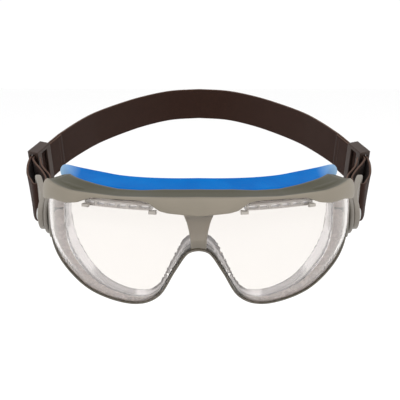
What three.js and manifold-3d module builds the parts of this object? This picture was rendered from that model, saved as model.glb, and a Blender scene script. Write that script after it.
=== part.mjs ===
// Safety goggles with a wraparound lens, a soft face seal and an elastic head strap.
// Millimetres. +X is the wearer's left, the lens looks along -Y, +Z is up.
// The origin is in the middle, 7.5 mm above the line of the two strap clip pivots.
import * as THREE from 'three';
import { mergeVertices } from 'three/addons/utils/BufferGeometryUtils.js';
import { TessellateModifier } from 'three/addons/modifiers/TessellateModifier.js';
import Module from 'manifold-3d';

const wasm = await Module();
wasm.setup();

// ---- driving dimensions ----
const FRONT = 64.8; // lens front ahead of the pivot line
const FRONT_RADIUS = 125; // lens plan radius across the eyes
const FRONT_ANGLE = THREE.MathUtils.degToRad(28); // turn where the side radius starts
const SIDE_RADIUS = 51;
const HEIGHT_RADIUS = 160; // vertical bulge of the lens
const BULGE_HEIGHT = -8; // height where the bulge stands furthest out
const GAP = 0.4; // clearance between moulded parts

const LENS_THICK = 2.2;
const FRAME_BACK = -9; // rear of the rigid frame, behind the lens front
const BROW_PROUD = 3.4; // brow bar stands this far in front of the lens
const LEDGE = 2.1; // thickness of the brow ledge
const SEAL_WALL = 4.2;
const PIVOT_HEIGHT = -7.5; // of the strap clips' pivots, below the origin
const TAB_END = 131.5; // end of the frame's side tab, along the lens front
const TAB_HEIGHT = 22;
const TAB_MIDDLE = PIVOT_HEIGHT - 1;

const LUG_X = 86.2; // inner face of the side lug
const LUG_THICK = 2.4;
const LUG_RADIUS = 11.5;
const CLIP_X = 89; // inner face of the clip hub
const CLIP_THICK = 3.6;
const CLIP_FLARE = THREE.MathUtils.degToRad(22); // outward lean of the clip's strap end
const FLARE_FROM = 4;
const HUB_RADIUS = 9;
const HEAD_RADIUS = 4; // of the pivot pin
const RETAINER_RADIUS = 5;
const PIN_RADIUS = 2.2;
const HOLE_RADIUS = 2.5;

const STRAP_WIDTH = 25;
const STRAP_THICK = 1.4;
// The strap's pitch in degrees: at the clips, where it rises, on the sliders, at the back.
const PITCHES = [8, 28, 19, 12.5];
const BAR_Y = 20.5; // clip bar behind the pivot
const SLIDER_ANGLE = THREE.MathUtils.degToRad(21); // strap leans inwards at the slider
const SLIDER_START = new THREE.Vector2(108.8, 52);
const SLIDER_RUN = 35; // straight strap that the slider travels on
const SLIDER_LENGTH = 15;

// ---- colours ----
const GREY = 0xa59b8e;
const DARK_GREY = 0x6b665b;
const CLEAR = 0xe9ecef;
const SEAL = 0xc9c0b6;
const BLUE = 0x0a7edd;
const BROWN = 0x33211c;
const SLIDER_BROWN = 0x4a372e;
const STEEL = 0x8f8f8c;

const group = new THREE.Group();
group.name = 'safety_goggles';

// Points are kept on a grid of so many steps a millimetre, so that those that meet are equal.
function snap(geometry, steps) {
  const array = geometry.attributes.position.array;
  for (let i = 0; i < array.length; i++) array[i] = Math.round(array[i] * steps) / steps;
  return geometry;
}

function add(name, geometry, color, roughness = 0.5, metalness = 0, opacity = 1) {
  const material = new THREE.MeshStandardMaterial({ color, roughness, metalness });
  material.transparent = opacity < 1;
  material.opacity = opacity;
  const mesh = new THREE.Mesh(snap(geometry, 1e4), material);
  mesh.name = name;
  group.add(mesh);
}

// ---- the wrapped surface ----
// A moulding is drawn flat: u runs along the lens front, v is height and w stands
// out from the lens. This point of the plan curve also gives the outward normal.
const frontLength = FRONT_RADIUS * FRONT_ANGLE;
const sideLength = SIDE_RADIUS * (Math.PI / 2 - FRONT_ANGLE);
function plan(u) {
  const a = Math.abs(u);
  const turn = a < frontLength
    ? a / FRONT_RADIUS
    : Math.min(FRONT_ANGLE + (a - frontLength) / SIDE_RADIUS, Math.PI / 2);
  const front = Math.min(turn, FRONT_ANGLE);
  const x = FRONT_RADIUS * Math.sin(front) + SIDE_RADIUS * (Math.sin(turn) - Math.sin(front));
  const y = FRONT_RADIUS * (1 - Math.cos(front)) + SIDE_RADIUS * (Math.cos(front) - Math.cos(turn))
    + Math.max(0, a - frontLength - sideLength) - FRONT;
  return { x: Math.sign(u) * x, y, nx: Math.sign(u) * Math.sin(turn), ny: -Math.cos(turn) };
}
const pivotU = frontLength + sideLength + FRONT
  - FRONT_RADIUS * (1 - Math.cos(FRONT_ANGLE)) - SIDE_RADIUS * Math.cos(FRONT_ANGLE);

function wrap(u, v, w) {
  const p = plan(u);
  const flat = THREE.MathUtils.smoothstep(Math.abs(u), 95, 115);
  const out = w - (1 - flat) * (v - BULGE_HEIGHT) ** 2 / (2 * HEIGHT_RADIUS);
  return new THREE.Vector3(p.x + p.nx * out, p.y + p.ny * out, v);
}

// The surface where the seals meet the face: forehead, temples, cheeks and nose.
function face(u, v) {
  const { smoothstep } = THREE.MathUtils;
  const p = plan(u);
  const x = 0.985 * (p.x + (FRAME_BACK - GAP) * p.nx);
  const nose = Math.exp(-((u / 11) ** 2)) * smoothstep(-v, 0, 12);
  const z = v > 0
    ? (1.2 - 0.13 * smoothstep(Math.abs(u), 55, 95)) * v
    : 1.08 * v - 2 * smoothstep(-v, 0, 25);
  return new THREE.Vector3(x, 34 * (x / 75) ** 2 - 40 - 13 * nose, z);
}

// The seals run from the frame (w = FRAME_BACK) to the face, which is drawn as w = -30.
const SEAL_FLAT = 30;
function sealWrap(u, v, w) {
  const t = (-w + FRAME_BACK) / (SEAL_FLAT + FRAME_BACK);
  return wrap(u, v, FRAME_BACK - 2 * GAP).lerp(face(u, v), t);
}

// Cuts a flat moulding into short edges and bends it. The binary grid halves exactly.
function bend(geometry, map, edge) {
  const fine = new TessellateModifier(edge, 24).modify(snap(geometry, 1024));
  const position = fine.attributes.position;
  const point = new THREE.Vector3();
  for (let i = 0; i < position.count; i++) {
    point.fromBufferAttribute(position, i);
    point.copy(map(point.x, point.y, point.z));
    position.setXYZ(i, point.x, point.y, point.z);
  }
  return weld(fine);
}

function weld(geometry) {
  geometry.deleteAttribute('normal');
  geometry.deleteAttribute('uv');
  const welded = mergeVertices(geometry, 1e-4);
  const kept = [];
  const index = welded.index.array;
  for (let i = 0; i < index.length; i += 3) {
    const [a, b, c] = index.slice(i, i + 3);
    if (a !== b && b !== c && c !== a) kept.push(a, b, c);
  }
  welded.setIndex(kept);
  welded.computeVertexNormals();
  return welded;
}

// ---- flat shapes ----
// A slab of a flat shape between two depths, with its front edge eased.
function slab(shape, from, to, ease = 0) {
  const geometry = new THREE.ExtrudeGeometry(shape, {
    depth: to - from - 2 * ease, bevelEnabled: ease > 0, bevelSize: ease,
    bevelThickness: ease, bevelOffset: -ease, bevelSegments: 1, curveSegments: 10,
  });
  return geometry.translate(0, 0, from + ease);
}

function mirrored(half) {
  const left = half.map((p) => new THREE.Vector2(-p.x, p.y)).reverse();
  return half.concat(left).filter((p, i, all) => p.distanceTo(all.at(i - 1)) > 0.01);
}

// A line from the middle out to the right, carried on to the left.
function bothWays(half) {
  const left = half.slice(1).map((p) => new THREE.Vector2(-p.x, p.y)).reverse();
  return left.concat(half);
}

function vectors(list) {
  return list.map(([x, y]) => new THREE.Vector2(x, y));
}

// A line moved sideways by a distance; to the right when the distance is positive.
function offset(points, distance, closed = false) {
  const n = points.length;
  return points.map((p, i) => {
    const before = points[closed ? (i + n - 1) % n : Math.max(i - 1, 0)];
    const after = points[closed ? (i + 1) % n : Math.min(i + 1, n - 1)];
    const along = after.clone().sub(before).normalize();
    return new THREE.Vector2(p.x + along.y * distance, p.y - along.x * distance);
  });
}

function ribbon(points, thickness) {
  const one = offset(points, thickness / 2);
  const other = offset(points, -thickness / 2).reverse();
  return new THREE.Shape(one.concat(other));
}

function smooth(list, count) {
  return new THREE.SplineCurve(vectors(list)).getSpacedPoints(count);
}

// ---- solids ----
function solid(geometry) {
  const clean = geometry.index ? geometry : weld(geometry);
  return new wasm.Manifold(new wasm.Mesh({
    numProp: 3,
    vertProperties: new Float32Array(clean.attributes.position.array),
    triVerts: new Uint32Array(clean.index.array),
  }));
}

function mesh(manifold) {
  const data = manifold.getMesh();
  const geometry = new THREE.BufferGeometry();
  geometry.setAttribute('position', new THREE.BufferAttribute(data.vertProperties, 3));
  geometry.setIndex(new THREE.BufferAttribute(data.triVerts, 1));
  return geometry;
}

function boxSolid(x, y, z, dx, dy, dz) {
  return solid(weld(new THREE.BoxGeometry(dx, dy, dz).translate(x, y, z)));
}

// A cylinder on the pivot line between two places along X.
function rodSolid(radius, fromX, toX) {
  const geometry = new THREE.CylinderGeometry(radius, radius, toX - fromX, 28)
    .rotateZ(Math.PI / 2).translate((fromX + toX) / 2, 0, PIVOT_HEIGHT);
  return solid(weld(geometry));
}

const sides = [['left', 1], ['right', -1]];
function sided(geometry, side) {
  const copy = geometry.clone();
  if (side < 0) {
    copy.scale(-1, 1, 1);
    const index = copy.index.array;
    for (let i = 0; i < index.length; i += 3) [index[i], index[i + 1]] = [index[i + 1], index[i]];
  }
  return copy;
}

// ---- outlines on the lens surface ----
const rim = mirrored(smooth([
  [0, 16.2], [50, 16.2], [78, 18], [97, 15], [104.5, 3], [98, -14.5], [74, -30],
  [56, -38.2], [35, -40.8], [21, -35.2], [12, -21], [5.5, -11.3], [0, -9.4],
], 64));
const inset = (distance) => new THREE.Shape(offset(rim, distance, true));

const browTop = smooth([
  [0, 19.4], [46, 18.8], [76, 20.6], [95, 22.3], [103.5, 18.2], [106, 12],
], 34);
const browLow = new THREE.Path(vectors([
  [106, 12], [104.5, 8], [98, 7.2], [84, 10.4], [71, 10.6], [64, 11.9], [54.5, 15.4], [40, 15.9],
  [29, 15.9], [24.5, 14.8], [19, 11], [8, 9.8], [0, 8.9],
]));

// ---- rigid frame and lens ----
const frameOpening = slab(inset(2.6), FRAME_BACK - 5, 5);
const nosePost = new THREE.Shape(vectors([
  [-8.6, 15], [8.6, 15], [5.6, 3.5], [3.8, -9.5], [-3.8, -9.5], [-5.6, 3.5],
]));
let frame = solid(slab(inset(0), FRAME_BACK, -LENS_THICK - GAP))
  .subtract(solid(frameOpening))
  .add(solid(slab(nosePost, -6.5, -LENS_THICK - GAP)));
for (const [, side] of sides) {
  // each side tab is stepped, to pass behind the end of the lens
  frame = frame.add(boxSolid(side * (TAB_END - 15), TAB_MIDDLE, -4.25, 30, TAB_HEIGHT, 3.5))
    .add(boxSolid(side * (TAB_END - 13.7), TAB_MIDDLE, -1.5, 27.4, TAB_HEIGHT, 3));
}
let frameBody = solid(bend(mesh(frame), wrap, 12));
for (const [, side] of sides) {
  const [from, to] = side > 0 ? [70, 95] : [-95, -70];
  frameBody = frameBody.subtract(rodSolid(HOLE_RADIUS, from, to));
}
add('goggle_frame', weld(mesh(frameBody)), DARK_GREY, 0.55);

add('lens', bend(slab(inset(1.3), -LENS_THICK, 0), wrap, 13), CLEAR, 0.08, 0, 0.35);

// The brow bar covers the lens edge in front and carries a ledge over it.
const browShape = new THREE.Shape(mirrored(browTop.concat(browLow.getPoints())));
const ledgeLine = offset(browTop.filter((p) => p.x < 101), LEDGE / 2 + 0.01);
const ledge = ribbon(bothWays(ledgeLine), LEDGE);
const brow = solid(slab(browShape, GAP, BROW_PROUD, 0.8))
  .add(solid(slab(ledge, FRAME_BACK, GAP + 0.8)));
add('brow_frame', bend(mesh(brow), wrap, 13), GREY, 0.5);

// Four hooks at the corners of the brow windows hold the lens edge.
const catchPlaces = [['outer', 57.2, 10.2], ['inner', 20.6, 9.4]];
for (const [sideName, side] of sides) {
  for (const [place, u, v] of catchPlaces) {
    const hook = new THREE.Shape(vectors([[u, v], [u + 3.8, v], [u + 3.8, v + 1.6], [u, v + 2]]));
    add(`lens_catch_${place}_${sideName}`, sided(bend(slab(hook, GAP, 2.4, 0.4), wrap, 6), side), GREY);
  }
}

// ---- vents ----
// A slatted strip, drawn flat, with its slots cut through from front to back.
function grille(middle, base, length, height, slots, fromW, toW) {
  const at = base + height / 2;
  const depth = toW - fromW;
  let strip = boxSolid(middle, at, (fromW + toW) / 2, length, height, depth);
  const pitch = (length - 2) / slots;
  for (let i = 0; i < slots; i++) {
    const u = middle + pitch * (i - (slots - 1) / 2);
    strip = strip.subtract(boxSolid(u, at, (fromW + toW) / 2, pitch - 1.6, height - 1.6, depth + 1));
  }
  return mesh(strip);
}
for (const [sideName, side] of sides) {
  const upper = grille(43, 10.2, 38, 2.9, 6, -6.5, -LENS_THICK - GAP);
  add(`upper_vent_${sideName}`, sided(bend(upper, wrap, 16), side), CLEAR, 0.2, 0, 0.6);
}

// ---- seals ----
// A closed skin over rows of points, each row one four-cornered section, with flat ends.
function loft(rows) {
  const corners = rows[0].length;
  const last = (rows.length - 1) * corners;
  const index = [0, 1, 2, 0, 2, 3, last, last + 2, last + 1, last, last + 3, last + 2];
  for (let a = 0; a < last; a++) {
    const b = a - (a % corners) + ((a + 1) % corners);
    index.push(a, a + corners, b + corners, a, b + corners, b);
  }
  const geometry = new THREE.BufferGeometry().setFromPoints(rows.flat());
  geometry.setIndex(index);
  return weld(geometry);
}

// A wall along a flat line, from the frame to the face, between two sideways distances.
function skirt(points, from, to, closed) {
  const [one, other] = [from, to].map((distance) => offset(points, distance, closed));
  return points.map((p, i) => [
    sealWrap(one[i].x, one[i].y, FRAME_BACK), sealWrap(one[i].x, one[i].y, -SEAL_FLAT),
    sealWrap(other[i].x, other[i].y, -SEAL_FLAT), sealWrap(other[i].x, other[i].y, FRAME_BACK),
  ]);
}

const browLine = bothWays(smooth([[0, 17], [46, 16.5], [76, 18.3], [92, 19.2], [100.4, 13]], 30));
add('brow_seal', loft(skirt(browLine, -SEAL_WALL / 2, SEAL_WALL / 2)), BLUE, 0.6);

// The face seal stops below the brow seal on each side.
const faceWall = skirt(rim, 0.8, 0.8 + SEAL_WALL, true).filter((row, i) => rim[i].y < 10);
add('face_seal', loft(faceWall), SEAL, 0.5, 0, 0.8);

// ---- the strap's side view ----
// Clips, strap and sliders are drawn level, then lifted on to a line that starts at the
// pivots and changes its pitch on the way back.
const LINE_STEP = 0.25;
function pitch(y) {
  const { smoothstep, degToRad } = THREE.MathUtils;
  const [clip, rise, slide, back] = PITCHES;
  return degToRad(clip + (rise - clip) * smoothstep(y, 22, 40)
    + (slide - rise) * smoothstep(y, 40, 53) + (back - slide) * smoothstep(y, 85, 120));
}
const alongPitch = (y, distance) => new THREE.Vector2(Math.cos(pitch(y)), Math.sin(pitch(y)))
  .multiplyScalar(distance);
const sideLine = [new THREE.Vector2(0, PIVOT_HEIGHT)];
for (let y = LINE_STEP / 2; y < 190; y += LINE_STEP) {
  sideLine.push(sideLine.at(-1).clone().add(alongPitch(y, LINE_STEP)));
}
function lift(geometry) {
  const position = geometry.attributes.position;
  for (let i = 0; i < position.count; i++) {
    const y = position.getY(i);
    const from = Math.max(0, Math.floor(y / LINE_STEP));
    const base = sideLine[from].clone().add(alongPitch(y, y - from * LINE_STEP));
    const up = alongPitch(y, position.getZ(i));
    position.setXYZ(i, position.getX(i), base.x - up.y, base.y + up.x);
  }
  return geometry;
}

// ---- side lugs, clips and their pivots ----
for (const [sideName, side] of sides) {
  const lug = rodSolid(LUG_RADIUS, LUG_X, LUG_X + LUG_THICK)
    .subtract(rodSolid(HOLE_RADIUS, LUG_X - 1, LUG_X + LUG_THICK + 1));
  add(`side_lug_${sideName}`, sided(weld(mesh(lug)), side), GREY);

  const outline = new THREE.Shape();
  outline.absarc(0, 0, HUB_RADIUS, Math.PI * 0.62, Math.PI * 1.38, false);
  outline.lineTo(BAR_Y - 5, -16.5);
  outline.quadraticCurveTo(BAR_Y + 2, -18.5, BAR_Y + 2, -14);
  outline.lineTo(BAR_Y + 2, 14);
  outline.quadraticCurveTo(BAR_Y + 2, 18.5, BAR_Y - 5, 16.5);
  outline.closePath();
  const slotHalf = STRAP_WIDTH / 2 + 0.7;
  const strapSlot = new THREE.Path(vectors([
    [BAR_Y - 5.2, -slotHalf], [BAR_Y - 5.2, slotHalf],
    [BAR_Y - 1.5, slotHalf], [BAR_Y - 1.5, -slotHalf],
  ]));
  outline.holes.push(new THREE.Path().absarc(0, 0, HOLE_RADIUS, 0, Math.PI * 2, true), strapSlot);
  const flared = (y, z, x) => new THREE.Vector3(
    CLIP_X + x + Math.max(0, y - FLARE_FROM) * Math.tan(CLIP_FLARE), y, z);
  const clip = bend(slab(outline, 0, CLIP_THICK, 0.6), flared, 9);
  add(`strap_clip_${sideName}`, sided(lift(clip), side), GREY);

  const outer = CLIP_X + CLIP_THICK;
  const pin = rodSolid(PIN_RADIUS, 77.6, outer + GAP)
    .add(rodSolid(HEAD_RADIUS, outer + GAP, outer + 2));
  add(`pivot_pin_${sideName}`, sided(weld(mesh(pin)), side), STEEL, 0.35, 0.8);
  const washer = rodSolid(RETAINER_RADIUS, 78.4, 79.6).subtract(rodSolid(HOLE_RADIUS, 70, 90));
  add(`pin_retainer_${sideName}`, sided(weld(mesh(washer)), side), STEEL, 0.35, 0.8);
}

// ---- strap ----
// A band standing on edge: its centre line in plan, extruded over the strap width.
function band(line, thickness, width) {
  const geometry = new THREE.ExtrudeGeometry(ribbon(line, thickness), {
    depth: width, bevelEnabled: false,
  });
  return weld(geometry.translate(0, 0, -width / 2));
}

const run = new THREE.Vector2(-Math.sin(SLIDER_ANGLE), Math.cos(SLIDER_ANGLE));
const inward = new THREE.Vector2(-run.y, run.x);
const onRun = (s, depth = 0) => SLIDER_START.clone()
  .addScaledVector(run, s).addScaledVector(inward, depth);
const layerGap = STRAP_THICK + GAP;
const bar = new THREE.Vector2(
  CLIP_X + CLIP_THICK / 2 + (BAR_Y - FLARE_FROM) * Math.tan(CLIP_FLARE), BAR_Y);
const bendRadius = 3.7;

// The strap turns half round the front of the clip bar, from its inner to its outer side.
const arc = [];
for (let i = 0; i <= 8; i++) {
  const a = Math.PI * (1 + i / 8) - CLIP_FLARE;
  arc.push(bar.clone().add(new THREE.Vector2(Math.cos(a), Math.sin(a)).multiplyScalar(bendRadius)));
}
const outerRun = new THREE.SplineCurve([
  arc[8], new THREE.Vector2(103, 24.5), new THREE.Vector2(106.4, 34), new THREE.Vector2(108.6, 45), onRun(0),
]).getSpacedPoints(14);
const innerRun = new THREE.SplineCurve([
  onRun(0, layerGap), new THREE.Vector2(104.4, 47), new THREE.Vector2(98, 39),
  new THREE.Vector2(94.6, 30), new THREE.Vector2(94.4, 25.5), arc[0],
]).getSpacedPoints(14);
const backRun = new THREE.SplineCurve([
  onRun(SLIDER_RUN), ...vectors([[86, 105], [76, 124], [61, 144], [44, 162], [23, 176.5], [0, 181]]),
]).getSpacedPoints(26);
const halfStrap = [
  onRun(SLIDER_RUN, layerGap), ...innerRun, ...arc.slice(1), ...outerRun.slice(1), ...backRun,
];
const wholeStrap = bothWays(halfStrap.reverse());
add('head_strap', lift(band(wholeStrap, STRAP_THICK, STRAP_WIDTH)), BROWN, 0.9);

// ---- sliders, each with the loose end of the strap ----
const sliderWall = 1.8;
const channel = 2 * STRAP_THICK + 3 * GAP;
const sliderDepth = channel + 2 * sliderWall;
const openDepth = 2 * sliderWall + 0.5; // cuts right through one wall
const openWidth = STRAP_WIDTH + 1.4;
for (const [sideName, side] of sides) {
  let slider = boxSolid(0, 0, 0, sliderDepth, SLIDER_LENGTH, STRAP_WIDTH + 6)
    .subtract(boxSolid(0, 0, 0, channel, 2 * SLIDER_LENGTH, openWidth));
  for (const y of [-3.9, 3.9]) {
    slider = slider.subtract(boxSolid(sliderDepth / 2, y, 0, openDepth, 3.4, openWidth));
  }
  slider = slider.subtract(boxSolid(-sliderDepth / 2, 0, 0, openDepth, 6, openWidth));
  const centre = onRun(2 + SLIDER_LENGTH / 2, layerGap / 2);
  const placed = mesh(slider).rotateZ(SLIDER_ANGLE).translate(centre.x, centre.y, 0);
  add(`slider_${sideName}`, sided(lift(weld(placed)), side), SLIDER_BROWN, 0.6);

  const tailLine = new THREE.SplineCurve([
    onRun(2.5, layerGap / 2 + sliderDepth / 2 + GAP + STRAP_THICK / 2), new THREE.Vector2(99.5, 44.5),
    new THREE.Vector2(93.6, 36), new THREE.Vector2(91.3, 27), new THREE.Vector2(91.2, 19),
  ]).getSpacedPoints(14);
  add(`strap_tail_${sideName}`, sided(lift(band(tailLine, STRAP_THICK, STRAP_WIDTH)), side), BROWN, 0.9);
}

export default group;
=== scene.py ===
# Safety goggles with a wraparound clear lens, a grey brow bar, a blue brow seal,
# swivel strap clips and a brown elastic strap. Blender works in metres; outlines are
# drawn in millimetres on the unrolled lens front and then bent round it.
import math

import bmesh
import bpy
import numpy as np
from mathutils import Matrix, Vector


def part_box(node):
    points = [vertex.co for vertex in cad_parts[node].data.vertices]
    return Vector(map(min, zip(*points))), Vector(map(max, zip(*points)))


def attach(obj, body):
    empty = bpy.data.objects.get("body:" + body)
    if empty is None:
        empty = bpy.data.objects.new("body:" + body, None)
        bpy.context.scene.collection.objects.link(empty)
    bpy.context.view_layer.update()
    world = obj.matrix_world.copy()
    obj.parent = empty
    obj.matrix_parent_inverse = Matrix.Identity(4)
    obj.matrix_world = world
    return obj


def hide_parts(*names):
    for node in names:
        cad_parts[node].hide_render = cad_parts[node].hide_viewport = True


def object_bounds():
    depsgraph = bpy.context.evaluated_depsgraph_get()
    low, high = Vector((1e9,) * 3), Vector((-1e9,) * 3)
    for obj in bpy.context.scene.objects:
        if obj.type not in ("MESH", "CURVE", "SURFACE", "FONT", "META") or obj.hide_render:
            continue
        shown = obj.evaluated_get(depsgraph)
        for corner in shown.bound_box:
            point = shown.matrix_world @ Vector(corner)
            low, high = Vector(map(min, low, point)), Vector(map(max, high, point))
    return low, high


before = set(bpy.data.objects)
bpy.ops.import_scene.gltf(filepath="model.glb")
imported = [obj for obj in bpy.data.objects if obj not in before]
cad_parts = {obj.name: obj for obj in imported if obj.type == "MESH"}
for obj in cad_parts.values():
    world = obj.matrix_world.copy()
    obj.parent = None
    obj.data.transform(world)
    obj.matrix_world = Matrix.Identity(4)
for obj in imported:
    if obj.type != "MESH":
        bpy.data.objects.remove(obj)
cad_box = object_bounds()
MM = 0.001


# ---- Camera, floor and light ----
# A long studio lens looks down a little on the front of the goggles, which hang well
# above a pale table under large soft panels and an even white sky.
AIM = Vector((0.0007, -0.014, 0.0043))
DISTANCE = 0.370
ELEVATION = math.radians(14)
LENS_LENGTH, SENSOR_WIDTH = 59.3, 36
SOFT_PANELS = (  # name, place, size and power of each soft panel
    ("panel_top", (0, -0.15, 0.9), (1.2, 0.9), 2.6),
    ("panel_left", (-0.8, -0.6, 0.35), (0.7, 0.8), 1.5),
    ("panel_right", (0.8, -0.6, 0.35), (0.7, 0.8), 0.9),
)
SKY_STRENGTH = 1.03
TABLE_REACH, TABLE_DROP = 3, 0.12  # the drop keeps the table clear of the strap's swing


def stand(name, data):
    """Puts a new object in the scene, at the origin."""
    thing = bpy.data.objects.new(name, data)
    bpy.context.scene.collection.objects.link(thing)
    return thing


camera_data = bpy.data.cameras.new("camera")
camera_data.sensor_width = SENSOR_WIDTH
camera_data.lens = LENS_LENGTH
camera = stand("camera", camera_data)
camera.location = AIM + DISTANCE * Vector((0, -math.cos(ELEVATION), math.sin(ELEVATION)))
camera.rotation_euler = (math.pi / 2 - ELEVATION, 0, 0)
bpy.context.scene.camera = camera

world = bpy.data.worlds.new("studio")
world.use_nodes = True
sky = world.node_tree.nodes["Background"]
sky.inputs["Color"].default_value = (1.0, 1.0, 1.0, 1)
sky.inputs["Strength"].default_value = SKY_STRENGTH
bpy.context.scene.world = world
bpy.context.scene.view_settings.view_transform = "Standard"

for name, place, size, watts in SOFT_PANELS:
    data = bpy.data.lights.new(name, "AREA")
    data.shape = "RECTANGLE"
    data.size, data.size_y = size
    data.energy = watts
    panel = stand(name, data)
    panel.location = place
    panel.rotation_euler = (AIM - Vector(place)).to_track_quat("-Z", "Y").to_euler()

table_height = float(cad_box[0][2]) - TABLE_DROP
corners = [(x * TABLE_REACH, y * TABLE_REACH, table_height) for x, y in ((-1, -1), (1, -1), (1, 1), (-1, 1))]
floor_mesh = bpy.data.meshes.new("table")
floor_mesh.from_pydata(corners, [], [(0, 1, 2, 3)])
table = stand("table", floor_mesh)
table_paint = bpy.data.materials.new("pale_table")
table_paint.use_nodes = True
paint = table_paint.node_tree.nodes["Principled BSDF"]
paint.inputs["Base Color"].default_value = (0.95, 0.95, 0.95, 1)
paint.inputs["Roughness"].default_value = 0.9
floor_mesh.materials.append(table_paint)


# ---- Rigid frame ----
# One nylon moulding behind the lens: a thin pale rim with a dark outer lip that follows
# the lens edge, a grey post between the eyes and a tab on each side for a strap clip.
LENS_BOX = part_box("lens")
FRONT = -LENS_BOX[0][1] / MM  # lens front ahead of the pivots
FRONT_RADIUS = 125.0
FRONT_ANGLE = math.radians(28)
SIDE_RADIUS = 51.0
HEIGHT_RADIUS = 160.0
BULGE_HEIGHT = -8.0
LENS_THICK = 2.2
FRAME_BACK = -9.0
SIDES = (("left", 1), ("right", -1))
FRONT_LENGTH = FRONT_RADIUS * FRONT_ANGLE
SIDE_LENGTH = SIDE_RADIUS * (math.pi / 2 - FRONT_ANGLE)


def smoothstep(value, low, high):
    """0 below low, 1 above high, and a smooth step between."""
    t = np.clip((value - low) / (high - low), 0, 1)
    return t * t * (3 - 2 * t)


def plan(u):
    """A point of the lens front in plan, and its outward normal, at arc length u."""
    a = np.abs(u)
    turn = np.where(a < FRONT_LENGTH, a / FRONT_RADIUS,
                    np.minimum(FRONT_ANGLE + (a - FRONT_LENGTH) / SIDE_RADIUS, math.pi / 2))
    front = np.minimum(turn, FRONT_ANGLE)
    x = FRONT_RADIUS * np.sin(front) + SIDE_RADIUS * (np.sin(turn) - np.sin(front))
    y = (FRONT_RADIUS * (1 - np.cos(front)) + SIDE_RADIUS * (np.cos(front) - np.cos(turn))
         + np.maximum(0, a - FRONT_LENGTH - SIDE_LENGTH) - FRONT)
    return np.sign(u) * x, y, np.sign(u) * np.sin(turn), -np.cos(turn)


def wrap(u, v, w):
    """Bends a flat point onto the lens: u along the front, v up, w outwards."""
    x, y, nx, ny = plan(u)
    flat = smoothstep(np.abs(u), 95, 115)
    out = w - (1 - flat) * (v - BULGE_HEIGHT) ** 2 / (2 * HEIGHT_RADIUS)
    return np.stack([x + nx * out, y + ny * out, v + 0 * u], axis=-1)


def spline(points, count):
    """Evenly spaced points along a smooth curve through the given ones."""
    p = np.array(points, float)
    ahead = np.vstack([p[1:], p[-1:]])
    behind = np.vstack([p[:1], p[:-1]])
    slope = (ahead - behind) / 2
    dense = []
    for i in range(len(p) - 1):
        t = np.linspace(0, 1, 60, endpoint=False)[:, None]
        dense.append((2 * t**3 - 3 * t**2 + 1) * p[i] + (t**3 - 2 * t**2 + t) * slope[i]
                     + (3 * t**2 - 2 * t**3) * p[i + 1] + (t**3 - t**2) * slope[i + 1])
    return even(np.vstack(dense + [p[-1:]]), count)


def even(points, count):
    """Spaces points evenly along the line through the given ones."""
    length = np.concatenate([[0], np.cumsum(np.linalg.norm(np.diff(points, axis=0), axis=1))])
    at = np.linspace(0, length[-1], count + 1)
    return np.stack([np.interp(at, length, points[:, k]) for k in range(points.shape[1])], axis=1)


def both_ways(half):
    """Carries a line that starts on the centre plane on to the other side."""
    return np.vstack([(half[1:] * np.array([-1, 1]))[::-1], half])


def inward(points, closed):
    """Unit normals to the right of the way a flat line runs."""
    if closed:
        along = np.roll(points, -1, axis=0) - np.roll(points, 1, axis=0)
    else:
        along = np.gradient(points, axis=0)
    along /= np.linalg.norm(along, axis=1)[:, None]
    return np.stack([along[:, 1], -along[:, 0]], axis=1)


RIM = [(0, 16.2), (50, 16.2), (78, 18), (97, 15), (104.5, 3), (98, -14.5), (74, -30),
       (56, -38.2), (35, -40.8), (21, -35.2), (12, -21), (5.5, -11.3), (0, -9.4)]
rim_half = spline(RIM, 200)
rim = np.vstack([rim_half, (rim_half[1:-1] * np.array([-1, 1]))[::-1]])
rim_inward = inward(rim, True)


def mesh_object(name, points, faces, shade=None):
    """Makes an object at the origin from points in millimetres, with a tone for each point."""
    mesh = bpy.data.meshes.new(name)
    mesh.from_pydata((np.asarray(points, float) * MM).tolist(), [], faces)
    mesh.update()
    if shade is not None:
        tones = mesh.attributes.new("shade", "FLOAT", "POINT").data
        tones.foreach_set("value", np.asarray(shade, np.float32).ravel())
    work = bmesh.new()
    work.from_mesh(mesh)
    bmesh.ops.remove_doubles(work, verts=work.verts, dist=1e-6)
    bmesh.ops.recalc_face_normals(work, faces=work.faces)
    work.to_mesh(mesh)
    work.free()
    mesh.shade_smooth()
    return stand(name, mesh)


def skin(rows, closed=False):
    """Faces between rows of points; each row is a closed section. Open ends get caps."""
    n, m = rows.shape[0], rows.shape[1]
    faces = []
    for i in range(n if closed else n - 1):
        k = (i + 1) % n
        faces += [(i * m + j, i * m + (j + 1) % m, k * m + (j + 1) % m, k * m + j) for j in range(m)]
    if not closed:
        faces += [tuple(range(m)), tuple(range(n * m - 1, (n - 1) * m - 1, -1))]
    return rows.reshape(-1, 3), faces


def fine(thing):
    """Rounds a mesh off with one finer level."""
    smooth = thing.modifiers.new("smooth", "SUBSURF")
    smooth.levels = smooth.render_levels = 1
    return thing


def fit_out(thing, body, slot, material, *replaced):
    """Gives a piece its finish, the body it rides on and the CAD nodes it stands for."""
    thing.data.materials.clear()
    thing.data.materials.append(material)
    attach(thing, body)
    if replaced:
        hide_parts(*replaced)


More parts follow.
